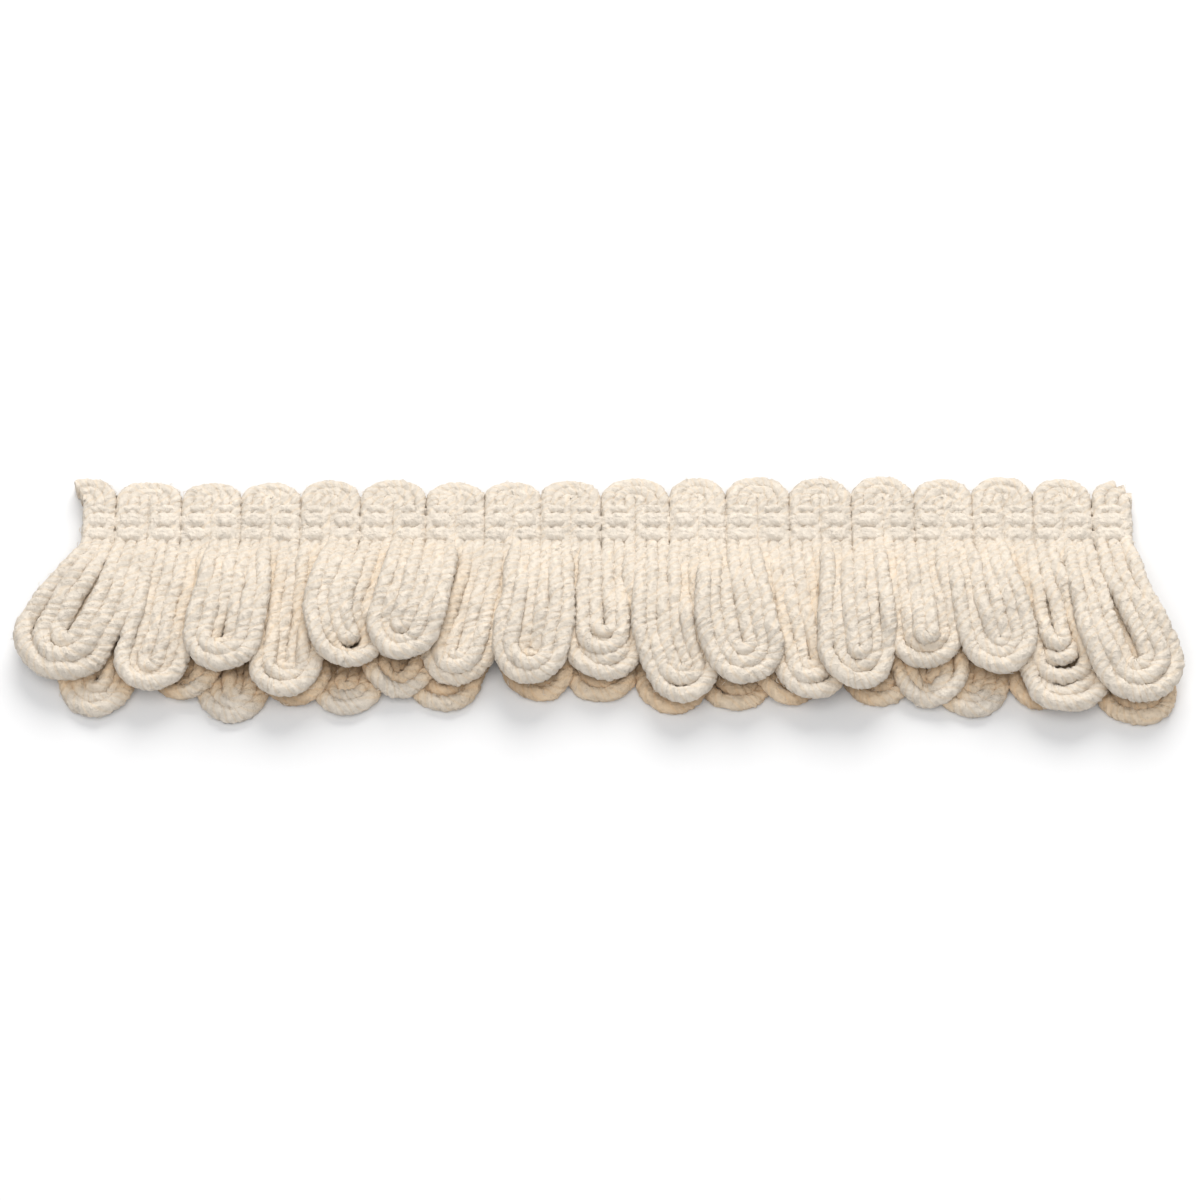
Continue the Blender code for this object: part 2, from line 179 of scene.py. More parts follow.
def loopPath(row, index, yarn, height):
    # one yarn of a loop, from its root on the -X side round the tip to its root on the +X side
    widths = (fringe["endScallops"][0], *fringe["scallopWidths"], fringe["endScallops"][1])
    root = np.array([bounds[index], fringe["front"] - 0.1])
    upper = height > fringe["yarnRadius"] * 2.0
    if upper:
        row = row._replace(tip=row.tip + fringe["tipLift"], reach=row.reach + fringe["tipReach"])
    last = fringe["yarns"] - 1
    spacing = row.bulk * fringe["belly"]
    uneven = nesting[int(upper), index, int(yarn)] * fringe["jumble"]
    gape = row.gape if yarn == last else 0.0
    belly = fringe["slotHalf"] + row.slot / 2.0 + yarn * spacing + gape + uneven[1]
    widest = fringe["slotHalf"] + row.slot / 2.0 + (last + 0.46) * spacing
    tip = np.array([root[0] + row.lean - row.hook, fringe["front"] - row.reach + widest])
    guide = np.array([root[0] + fringe["leanHalfway"] * (row.lean - row.hook), (root[1] + tip[1]) / 2.0])
    crownGuide = 2.0 * row.crown - (height + row.tip) / 2.0
    shorter = (row.nest * (last - yarn) + uneven[0]) / np.linalg.norm(tip - root)

    def middle(along):
        back = 1.0 - along
        place = back * back * root + 2.0 * back * along * guide + along * along * tip
        place = place + np.array([row.hook * along ** 5, 0.0])
        onward = 2.0 * back * (guide - root) + 2.0 * along * (tip - guide)
        onward = onward + np.array([5.0 * row.hook * along ** 4, 0.0])
        onward = onward / np.linalg.norm(onward)
        rise = back * back * height + 2.0 * back * along * crownGuide + along * along * (row.tip + uneven[2])
        turned = math.radians(row.roll) * ease((along - 0.2) / 0.7)
        across = np.array([-onward[1] * math.cos(turned), onward[0] * math.cos(turned), -math.sin(turned)])
        return np.array([*place, rise]), np.array([*onward, 0.0]), across

    def leg(side, share):
        place, _, across = middle(share * (1.0 - shorter))
        atRoot = legOffset(widths[index if side < 0 else index + 1], yarn)
        widened = ease((share - fringe["widenFrom"]) / (fringe["widenTo"] - fringe["widenFrom"]))
        offset = atRoot + (belly - atRoot) * widened
        return place + side * offset * across

    shares = np.linspace(0.0, 1.0, fringe["legPoints"])
    points = [leg(-1.0, share) for share in shares]
    place, onward, across = middle(1.0 - shorter)
    for angle in np.linspace(0.0, math.pi, fringe["tipPoints"])[1:-1]:
        spot = place + belly * (math.sin(angle) * onward - math.cos(angle) * across)
        spot[2] -= fringe["tipDroop"] * row.curl * yarn * math.sin(angle)
        points.append(spot)
    points += [leg(1.0, share) for share in shares[::-1]]
    points = np.array(points)
    points[:, 2] = np.maximum(points[:, 2], fringe["yarnRadius"])
    return points


def clearHeight(points, laid, reach):
    # how high a yarn has to be over the yarns that are laid under it
    away = np.linalg.norm(points[:, None, :2] - laid[None, :, :2], axis=2)
    over = np.sqrt(np.maximum(reach * reach - away * away, 0.0))
    return np.where(away < reach, laid[None, :, 2] + over, 0.0).max(axis=1)


def spreadLift(lift, slope):
    spread = lift.copy()
    for _ in range(len(lift)):
        wider = np.maximum(spread, np.maximum(np.roll(spread, 1), np.roll(spread, -1)) - slope)
        if np.allclose(wider, spread):
            break
        spread = wider
    kernel = np.hanning(9)
    return np.convolve(np.pad(spread, 4, mode="edge"), kernel / kernel.sum(), mode="valid")


laying = {
    "reach": 1.9,             # in yarn radii, how near a yarn has to pass to lie on another
    "together": 0.7,          # the yarns of a loop rise to within this of the highest
    "slope": 0.25,
    "rootRamp": 8.0,
}


def layLoops():
    # both tiers, each loop laid in turn on what is beneath it
    laid = np.zeros((0, 3))
    loops = {}
    for tier in tiers:
        for index in sorted(range(len(tier.rows)), key=lambda place: tier.rows[place].layer):
            paths = [loopPath(tier.rows[index], index, yarn, tier.height) for yarn in range(fringe["yarns"])]
            if len(laid):
                reach = laying["reach"] * fringe["yarnRadius"]
                ramp = np.linspace(0.0, laying["rootRamp"], len(paths[0]))
                held = ease(ramp) * ease(np.linspace(laying["rootRamp"], 0.0, len(paths[0])))
                lifts = [
                    np.maximum(0.0, clearHeight(path, laid, reach) - path[:, 2]) * held for path in paths
                ]
                shared = np.max(lifts, axis=0)
                for path, lift in zip(paths, lifts):
                    raised = np.maximum(lift, shared - laying["together"])
                    path[:, 2] += spreadLift(raised, laying["slope"]) * held
            laid = np.concatenate([laid, *paths])
            loops[tier.name, index] = paths
    return loops


def archPath(index, middle, width, yarn, height, start, end):
    # a yarn turns over in its arch; the inner yarn of a loop is the outer one of the arch
    share = (fringe["yarns"] - yarn - 0.5) / fringe["yarns"]
    halfWidth = width / 2.0 - legOffset(width, yarn)
    rise = share * (fringe["back"] - fringe["archStart"] + fringe["archRises"][index])
    power = 2.0 / fringe["archSquareness"]
    points = []
    for angle in np.linspace(start, end, 19):
        across = math.copysign(abs(math.cos(angle)) ** power, math.cos(angle))
        along = abs(math.sin(angle)) ** power
        fall = fringe["archFall"] * math.sin(angle) * (0.4 + 0.6 * share)
        points.append((middle - across * halfWidth, fringe["archStart"] + along * rise, height - fall))
    return np.array(points)


def pinch(points):
    # the binding presses the legs down and narrows them
    squeeze = np.zeros(len(points))
    for row in binding["rows"]:
        squeeze = np.maximum(squeeze, np.exp(-((points[:, 1] - row.across) / (0.55 * row.threads)) ** 2))
    return squeeze


def legPath(x, height, outward):
    ends = (fringe["archStart"], fringe["front"])
    across = np.linspace(*(ends if outward else ends[::-1]), 16)[1:-1]
    points = np.column_stack([np.full(len(across), x), across, np.full(len(across), height)])
    points[:, 2] -= fringe["legPinch"] * pinch(points)
    return points


def swelling(row, count):
    # loosely laid yarn is thicker towards the tip
    share = 1.0 - np.abs(np.linspace(-1.0, 1.0, count))
    return 1.0 + (row.bulk - 1.0) * ease((share - 0.25) / 0.5)


def fillPaths(tier, index):
    # yarns that come from beneath: along an open slot, and as rims where the inner yarns stop short
    row = tier.rows[index]
    paths = []
    if row.slot > fringe["fillSlot"]:
        inner = loopPath(row, index, 0, tier.height)
        under = (inner[:fringe["legPoints"]] + inner[::-1][:fringe["legPoints"]])[8:] / 2.0
        under[:, 2] -= fringe["fillDepth"]
        paths.append(np.column_stack([under, np.ones(len(under))]))
    if row.nest < fringe["fillFrom"]:
        return paths
    for yarn in range(fringe["yarns"] - 1):
        rim = loopPath(row, index, yarn + 0.5, tier.height)[24:-24]
        sunk = 1.0 - np.sin(np.linspace(0.0, math.pi, len(rim)))
        rim[:, 2] -= 0.2 + 1.6 * sunk
        paths.append(np.column_stack([rim, np.ones(len(rim))]))
    return paths


def yarnRoute(tier, yarn, loops):
    # one yarn from the cut end on the left, through every loop and arch, to the cut end on the right
    cut = math.radians(fringe["leftCut"])
    widths = (*fringe["scallopWidths"], fringe["endScallops"][1])
    first = fringe["endScallops"][0]
    parts = [archPath(0, bounds[0] - first / 2.0, first, yarn, tier.height, cut, math.pi)]
    bulks = []
    for index, row in enumerate(tier.rows):
        loop = loops[tier.name, index][yarn]
        parts.append(legPath(parts[-1][-1, 0], tier.height, True))
        bulks += [np.ones(len(parts[-2])), np.ones(len(parts[-1])), swelling(row, len(loop))]
        parts.append(loop)
        width = widths[index]
        end = math.radians(180.0 if index + 1 < len(tier.rows) else fringe["rightCuts"][yarn])
        arch = archPath(index + 1, bounds[index] + width / 2.0, width, yarn, tier.height, 0.0, end)
        parts.append(legPath(arch[0, 0], tier.height, False))
        bulks.append(np.ones(len(parts[-1])))
        parts.append(arch)
    bulks.append(np.ones(len(parts[-1])))
    return np.column_stack([np.concatenate(parts), np.concatenate(bulks)])


def evenPoints(points, step):
    lengths = np.linalg.norm(np.diff(points[:, :3], axis=0), axis=1)
    keep = np.concatenate([[True], lengths > 1e-6])
    points = points[keep]
    along = np.concatenate([[0.0], np.cumsum(np.linalg.norm(np.diff(points[:, :3], axis=0), axis=1))])
    even = np.linspace(0.0, along[-1], int(along[-1] / step) + 1)
    return np.column_stack([np.interp(even, along, points[:, axis]) for axis in range(points.shape[1])])


def thicknessOf(points):
    # full thickness in the loops and nearly so in the arches; the last column holds the swelling
    out = ease((fringe["front"] + 0.5 - points[:, 1]) / 4.0) + 0.7 * ease((points[:, 1] - fringe["archStart"]) / 1.5)
    return (fringe["legSquash"] + (1.0 - fringe["legSquash"]) * out) * points[:, 3]


def paintedShadeOf(points, others):
    # how deep each point lies under other yarns, from 0 in the open to 1; the cotton's colour is darkened and warmed
    # by it as painted shade
    cover = np.zeros(len(points))
    batch = 400
    for start in range(0, len(points), batch):
        part = points[start:start + batch]
        away = np.linalg.norm(part[:, None, :2] - others[None, :, :2], axis=2)
        above = ease((others[None, :, 2] - part[:, None, 2] - 0.5) / 1.5)
        cover[start:start + batch] = (above * np.exp(-(away / fringe["paintedShadeReach"]) ** 2)).sum(axis=1)
    left = fringe["headingPaintedShade"]
    loose = left + (1.0 - left) * ease((fringe["front"] - points[:, 1]) / 4.0)
    return (1.0 - np.exp(-cover * fringe["paintedShadeStrength"])) * loose


def nearPairs(points, strand, place, reach, apart):
    # pairs of points that may touch, found along X
    order = np.argsort(points[:, 0], kind="stable")
    found = []
    for shift in range(1, len(points)):
        first, second = order[:-shift], order[shift:]
        close = points[second, 0] - points[first, 0] < reach
        if not close.any():
            break
        first, second = first[close], second[close]
        near = np.linalg.norm(points[first] - points[second], axis=1) < reach
        same = (strand[first] == strand[second]) & (np.abs(place[first] - place[second]) < apart)
        keep = near & ~same
        found.append(np.column_stack([first[keep], second[keep]]))
    return np.concatenate(found)


settling = {
    "turns": 120,
    "pairsEvery": 20,
    "reach": 2.9,             # in yarn radii, how near two points are looked at
    "apart": 3.4,             # length of a yarn within which it doesn't push itself
    "touch": 0.97,            # share of their two radii at which yarns come to rest
    "push": 1.3,
    "smooth": 0.45,
    "fade": 0.999,
}


def settle(yarns):
    # the routes push one another apart by yarnRadius, and lie on the table; the thicker yarns that are then
    # wound on them press into one another, which keeps the grooves soft
    rest = np.concatenate([points[:, :3] for points in yarns])
    strand = np.concatenate([np.full(len(points), index) for index, points in enumerate(yarns)])
    place = np.concatenate([np.arange(len(points)) for points in yarns])
    radius = fringe["yarnRadius"] * np.concatenate([thicknessOf(points) for points in yarns])
    free = ease((fringe["front"] + 0.2 - rest[:, 1]) / 3.0)
    inner = (place > 0) & (np.concatenate([np.arange(len(points))[::-1] for points in yarns]) > 0)
    moved = np.zeros_like(rest)
    count = len(rest)
    for turn in range(settling["turns"]):
        points = rest + moved
        if turn % settling["pairsEvery"] == 0:
            pairs = nearPairs(points, strand, place, settling["reach"] * fringe["yarnRadius"],
                              settling["apart"] / fringe["step"])
        first, second = pairs[:, 0], pairs[:, 1]
        gap = points[second] - points[first]
        apart = np.linalg.norm(gap, axis=1) + 1e-9
        lack = np.maximum(0.0, settling["touch"] * (radius[first] + radius[second]) - apart)
        touching = lack > 0.0
        first, second = first[touching], second[touching]
        push = (gap[touching] / apart[touching, None]) * lack[touching, None] * 0.5
        hits = np.bincount(first, minlength=count) + np.bincount(second, minlength=count)
        for axis in range(3):
            change = np.bincount(second, push[:, axis], count) - np.bincount(first, push[:, axis], count)
            moved[:, axis] += change / np.maximum(hits, 1) * settling["push"] * free
        around = (np.roll(moved, 1, axis=0) + np.roll(moved, -1, axis=0)) / 2.0
        moved[inner] += settling["smooth"] * (around - moved)[inner]
        moved *= (settling["fade"] * free)[:, None]
        moved[:, 2] = np.maximum(moved[:, 2], radius - rest[:, 2])
    settled = rest + moved
    ends = np.cumsum([len(points) for points in yarns])[:-1]
    return [np.column_stack([path, points[:, 3]]) for path, points in zip(np.split(settled, ends), yarns)]


def waver(points, numbers):
    # soft yarn never lies quite straight
    kernel = np.hanning(13)
    kernel = kernel / np.linalg.norm(kernel)
    noise = numbers.normal(size=(len(points) + 12, 3))
    noise = np.column_stack([np.convolve(noise[:, axis], kernel, "valid") for axis in range(3)])
    free = ease((fringe["front"] - 1.0 - points[:, 1]) / 4.0)
    points[:, :3] += fringe["waver"] * noise * free[:, None]
    points[:, 2] = np.maximum(points[:, 2], fringe["yarnRadius"])
    return points


loops = layLoops()
routes = {}
numbers = np.random.default_rng(fringe["seed"])
for tier in tiers:
    for yarn in range(fringe["yarns"]):
        routes[tier.name, yarn, "yarn"] = waver(evenPoints(yarnRoute(tier, yarn, loops), fringe["step"]), numbers)
    for index in range(len(tier.rows)):
        for place, path in enumerate(fillPaths(tier, index)):
            routes[tier.name, place, f"fill {index}"] = waver(evenPoints(path, fringe["step"]), numbers)
for key, points in zip(routes, settle(list(routes.values()))):
    routes[key] = points
allPoints = np.concatenate(list(routes.values()))
# painted shade of every point: darker and warmer where other yarns lie over it
paintedShades = {key: paintedShadeOf(points, allPoints) * fringe["paintedShadeShares"][key[0]] for key, points in routes.items()}
print("yarns laid and settled:", len(allPoints), "points")


# node helpers
def addNode(tree, kind, inputs=None, **settings):
    node = tree.nodes.new(kind)
    for name, value in settings.items():
        setattr(node, name, value)
    for name, value in (inputs or {}).items():
        socket = node.inputs[name]
        if isinstance(value, bpy.types.NodeSocket):
            tree.links.new(value, socket)
        else:
            socket.default_value = value
    return node


def calc(tree, operation, *values):
    inputs = {place: value for place, value in enumerate(values)}
    return addNode(tree, "ShaderNodeMath", inputs, operation=operation).outputs[0]


def vectorCalc(tree, operation, *values):
    node = addNode(tree, "ShaderNodeVectorMath", operation=operation)
    for place, value in enumerate(values):
        if isinstance(value, bpy.types.NodeSocket):
            tree.links.new(value, node.inputs[place])
        else:
            node.inputs[place].default_value = value
    return node.outputs["Vector"]


def scaled(tree, vector, amount):
    node = addNode(tree, "ShaderNodeVectorMath", {"Vector": vector, "Scale": amount}, operation="SCALE")
    return node.outputs["Vector"]


def keep(tree, geometry, name, kind, value):
    node = addNode(tree, "GeometryNodeStoreNamedAttribute", {"Geometry": geometry, "Name": name},
                   data_type=kind, domain="POINT")
    tree.links.new(value, node.inputs["Value"])
    return node.outputs["Geometry"]


def named(tree, name, kind):
    return addNode(tree, "GeometryNodeInputNamedAttribute", {"Name": name}, data_type=kind).outputs["Attribute"]


# plied yarn: a lobed section that turns as it follows the route, roughened, with stray fibres on it
yarnInputs = (
    ("Yarn Radius", "NodeSocketFloat", 0.001),
    ("Groove Depth", "NodeSocketFloat", 0.16),
    ("Twist Pitch", "NodeSocketFloat", 0.0054),
    ("Unevenness", "NodeSocketFloat", 5.0),
    ("Ring Spacing", "NodeSocketFloat", 0.00046),
    ("Lumpiness", "NodeSocketFloat", 0.0001),
    ("Lump Size", "NodeSocketFloat", 0.0012),
    ("Grain", "NodeSocketFloat", 0.00003),
    ("Fibre Density", "NodeSocketFloat", 60000.0),
    ("Fibre Size", "NodeSocketFloat", 0.0008),
    ("Seed", "NodeSocketInt", 1),
    ("Material", "NodeSocketMaterial", None),
    ("Fibre Material", "NodeSocketMaterial", None),
)


tableClearance = 0.02 * mm


def buildYarnTree(name, plies, sides):
    tree = bpy.data.node_groups.new(name, "GeometryNodeTree")
    tree.interface.new_socket("Geometry", in_out="INPUT", socket_type="NodeSocketGeometry")
    for label, kind, value in yarnInputs:
        socket = tree.interface.new_socket(label, in_out="INPUT", socket_type=kind)
        if value is not None:
            socket.default_value = value
    tree.interface.new_socket("Geometry", in_out="OUTPUT", socket_type="NodeSocketGeometry")
    given = addNode(tree, "NodeGroupInput").outputs
    seed = calc(tree, "MULTIPLY", given["Seed"], 1.7)
    here = addNode(tree, "GeometryNodeInputPosition").outputs[0]

    # the route, made smooth and turned evenly along its length
    curve = addNode(tree, "GeometryNodeMeshToCurve", {"Mesh": given["Geometry"]}).outputs[0]
    curve = addNode(tree, "GeometryNodeCurveSplineType", {"Curve": curve}, spline_type="CATMULL_ROM").outputs[0]
    curve = addNode(tree, "GeometryNodeResampleCurve", {"Curve": curve, "Length": given["Ring Spacing"]},
                    mode="LENGTH").outputs[0]
    length = addNode(tree, "GeometryNodeSplineParameter").outputs["Length"]
    curve = keep(tree, curve, "alongYarn", "FLOAT", length)
    wander = addNode(tree, "ShaderNodeTexNoise", {"Vector": here, "W": seed, "Scale": 240.0, "Detail": 1.0},
                     noise_dimensions="4D").outputs[0]
    turn = calc(tree, "MULTIPLY", calc(tree, "DIVIDE", length, given["Twist Pitch"]), 2.0 * math.pi)
    turn = calc(tree, "ADD", turn, calc(tree, "MULTIPLY", wander, given["Unevenness"]))
    curve = addNode(tree, "GeometryNodeSetCurveTilt", {"Curve": curve, "Tilt": turn}).outputs[0]

    # the section: one lobe for each ply
    ring = addNode(tree, "GeometryNodeCurvePrimitiveCircle", {"Resolution": sides, "Radius": 1.0}, mode="RADIUS")
    around = addNode(tree, "GeometryNodeSplineParameter").outputs["Factor"]
    around = calc(tree, "MULTIPLY", around, math.pi * plies)
    lobe = calc(tree, "POWER", calc(tree, "ABSOLUTE", calc(tree, "COSINE", around)), 0.8)
    reach = calc(tree, "SUBTRACT", 1.0, calc(tree, "MULTIPLY", calc(tree, "SUBTRACT", 1.0, lobe),
                                             given["Groove Depth"]))
    # crest is 1 on each ply and 0 between plies; the cotton material paints the grooves darker with it, as painted
    # shade
    ring = keep(tree, ring.outputs["Curve"], "crest", "FLOAT", lobe)
    ring = keep(tree, ring, "ringSpot", "FLOAT_VECTOR", here)
    ring = addNode(tree, "GeometryNodeSetPosition",
                   {"Geometry": ring, "Position": scaled(tree, here, reach)}).outputs[0]

    size = calc(tree, "MULTIPLY", named(tree, "thickness", "FLOAT"), given["Yarn Radius"])
    body = addNode(tree, "GeometryNodeCurveToMesh", {"Curve": curve, "Profile Curve": ring, "Scale": size,
                                                     "Fill Caps": True}).outputs[0]
    lumps = addNode(tree, "ShaderNodeTexNoise",
                    {"Vector": here, "W": seed, "Scale": calc(tree, "DIVIDE", 1.0, given["Lump Size"]), "Detail": 2.0,
                     "Roughness": 0.6}, noise_dimensions="4D").outputs[0]
    lumps = calc(tree, "MULTIPLY", calc(tree, "SUBTRACT", lumps, 0.5),
                 calc(tree, "MULTIPLY", given["Lumpiness"], 4.0))
    grain = addNode(tree, "ShaderNodeTexNoise", {"Vector": here, "W": seed, "Scale": 1900.0, "Detail": 1.0},
                    noise_dimensions="4D").outputs[0]
    grain = calc(tree, "MULTIPLY", calc(tree, "SUBTRACT", grain, 0.5), calc(tree, "MULTIPLY", given["Grain"], 4.0))
    lumps = calc(tree, "ADD", lumps, grain)
    outward = addNode(tree, "GeometryNodeInputNormal").outputs["Normal"]
    body = addNode(tree, "GeometryNodeSetPosition",
                   {"Geometry": body, "Offset": scaled(tree, outward, lumps)}).outputs[0]

    # what the materials read: fibreSpace runs along the plies in millimetres
    lengthwise = calc(tree, "MULTIPLY", named(tree, "alongYarn", "FLOAT"), 1000.0)
    lengthwise = addNode(tree, "ShaderNodeCombineXYZ", {"Z": lengthwise}).outputs[0]
    body = keep(tree, body, "fibreSpace", "FLOAT_VECTOR",
                vectorCalc(tree, "ADD", named(tree, "ringSpot", "FLOAT_VECTOR"), lengthwise))
    body = addNode(tree, "GeometryNodeSetShadeSmooth", {"Geometry": body}).outputs[0]
    body = addNode(tree, "GeometryNodeSetMaterial", {"Geometry": body, "Material": given["Material"]}).outputs[0]

    # stray fibres stand a little way off the surface
    scatter = addNode(tree, "GeometryNodeDistributePointsOnFaces",
                      {"Mesh": body, "Density": given["Fibre Density"], "Seed": given["Seed"]},
                      distribute_method="RANDOM")
    hair = addNode(tree, "GeometryNodeCurveQuadraticBezier",
                   {"Resolution": 3, "Start": (0.0, 0.0, -0.1), "Middle": (0.35, 0.05, 0.75), "End": (1.0, 0.3, 0.3)})
    wire = addNode(tree, "GeometryNodeCurvePrimitiveCircle", {"Resolution": 3, "Radius": 0.05}, mode="RADIUS")
    hair = addNode(tree, "GeometryNodeCurveToMesh",
                   {"Curve": hair.outputs[0], "Profile Curve": wire.outputs["Curve"], "Fill Caps": True}).outputs[0]
    facing = addNode(tree, "FunctionNodeRandomValue", {0: (0.0, 0.0, 0.0), 1: (0.5, 0.5, 2.0 * math.pi),
                                                       "Seed": given["Seed"]}, data_type="FLOAT_VECTOR")
    turned = addNode(tree, "FunctionNodeEulerToRotation", {"Euler": facing.outputs[0]}).outputs[0]
    turned = addNode(tree, "FunctionNodeRotateRotation",
                     {"Rotation": scatter.outputs["Rotation"], "Rotate By": turned},
                     rotation_space="LOCAL").outputs[0]
    lengths = addNode(tree, "FunctionNodeRandomValue",
                      {2: 0.4, 3: 1.0, "Seed": calc(tree, "ADD", given["Seed"], 5.0)}, data_type="FLOAT")
    size = calc(tree, "MULTIPLY", lengths.outputs[1], given["Fibre Size"])
    size = addNode(tree, "ShaderNodeCombineXYZ", {"X": size, "Y": size, "Z": size}).outputs[0]
    fuzz = addNode(tree, "GeometryNodeInstanceOnPoints",
                   {"Points": scatter.outputs["Points"], "Instance": hair, "Rotation": turned,
                    "Scale": size}).outputs[0]
    fuzz = addNode(tree, "GeometryNodeRealizeInstances", {"Geometry": fuzz}).outputs[0]
    fuzz = addNode(tree, "GeometryNodeSetMaterial",
                   {"Geometry": fuzz, "Material": given["Fibre Material"]}).outputs[0]

    both = addNode(tree, "GeometryNodeJoinGeometry")
    tree.links.new(body, both.inputs[0])
    tree.links.new(fuzz, both.inputs[0])
    result = both.outputs[0]

    # nothing sinks into the table
    parts = addNode(tree, "ShaderNodeSeparateXYZ", {"Vector": here}).outputs
    height = calc(tree, "MAXIMUM", parts["Z"], tableClearance)
    lifted = addNode(tree, "ShaderNodeCombineXYZ", {"X": parts["X"], "Y": parts["Y"], "Z": height}).outputs[0]
    result = addNode(tree, "GeometryNodeSetPosition", {"Geometry": result, "Position": lifted}).outputs[0]
    for spare in ("alongYarn", "ringSpot"):
        result = addNode(tree, "GeometryNodeRemoveAttribute", {"Geometry": result, "Name": spare}).outputs[0]
    result = addNode(tree, "GeometryNodeRealizeInstances", {"Geometry": result}).outputs[0]
    addNode(tree, "NodeGroupOutput", {"Geometry": result})
    return tree


# finishes
cotton = {
    # the groove colours are the crest colours a little darker and warmer: painted shade between the plies
    "crest": (0.772, 0.694, 0.596),
    "groove": (0.762, 0.654, 0.526),
    "bindingCrest": (0.80, 0.722, 0.624),
    "bindingGroove": (0.785, 0.70, 0.596),
    # painted shade, warm and darkening with depth, on yarns that lie under others, from those in the open to the
    # deepest: the cotton's colour is multiplied by these
    "paintedUnderShade": (
        (0.0, (1.0, 1.0, 1.0)),
        (0.28, (1.03, 0.93, 0.80)),
        (0.54, (1.05, 0.89, 0.71)),
        (0.8, (0.60, 0.47, 0.34)),
    ),
    "roughness": 0.92,
    "specular": 0.2,
    "sheen": 0.1,
    "sheenRoughness": 0.5,
    "sheenTint": (1.0, 0.95, 0.87),
    "unevenness": 0.07,      # lighter and darker stretches of yarn
    "streaks": 0.08,         # fibres seen as fine lines
    # painted shade in the pits of the tuft bump: the cotton is darker where the bump is low
    "paintedPitShade": 0.13,
    "fibreBump": 0.00004,
    "tuftBump": 0.0005,
    "fibreShade": 0.88,      # darkest stray fibres
    "fibrePatch": 400.0,
}


def buildFibreGrain():
    # fine lines along the fibres, and soft lighter and darker stretches
    group = bpy.data.node_groups.new("fibreGrain", "ShaderNodeTree")
    for label, value in (("Fineness", 3.0), ("Stretch Size", 180.0), ("Tuft Size", 1100.0)):
        group.interface.new_socket(label, in_out="INPUT", socket_type="NodeSocketFloat").default_value = value
    for label in ("Streak", "Stretch", "Tuft"):
        group.interface.new_socket(label, in_out="OUTPUT", socket_type="NodeSocketFloat")
    given = addNode(group, "NodeGroupInput").outputs
    space = addNode(group, "ShaderNodeAttribute", attribute_name="fibreSpace").outputs["Vector"]
    drawn = vectorCalc(group, "MULTIPLY", space, (1.0, 1.0, 0.22))
    streak = addNode(group, "ShaderNodeTexNoise", {"Vector": drawn, "Scale": given["Fineness"], "Detail": 3.0,
                                                   "Roughness": 0.65}).outputs[0]
    spot = addNode(group, "ShaderNodeTexCoord").outputs["Object"]
    stretch = addNode(group, "ShaderNodeTexNoise", {"Vector": spot, "Scale": given["Stretch Size"],
                                                    "Detail": 2.0}).outputs[0]
    tuft = addNode(group, "ShaderNodeTexNoise", {"Vector": spot, "Scale": given["Tuft Size"], "Detail": 3.0,
                                                 "Roughness": 0.55}).outputs[0]
    addNode(group, "NodeGroupOutput", {"Streak": streak, "Stretch": stretch, "Tuft": tuft})
    return group


fibreGrain = buildFibreGrain()


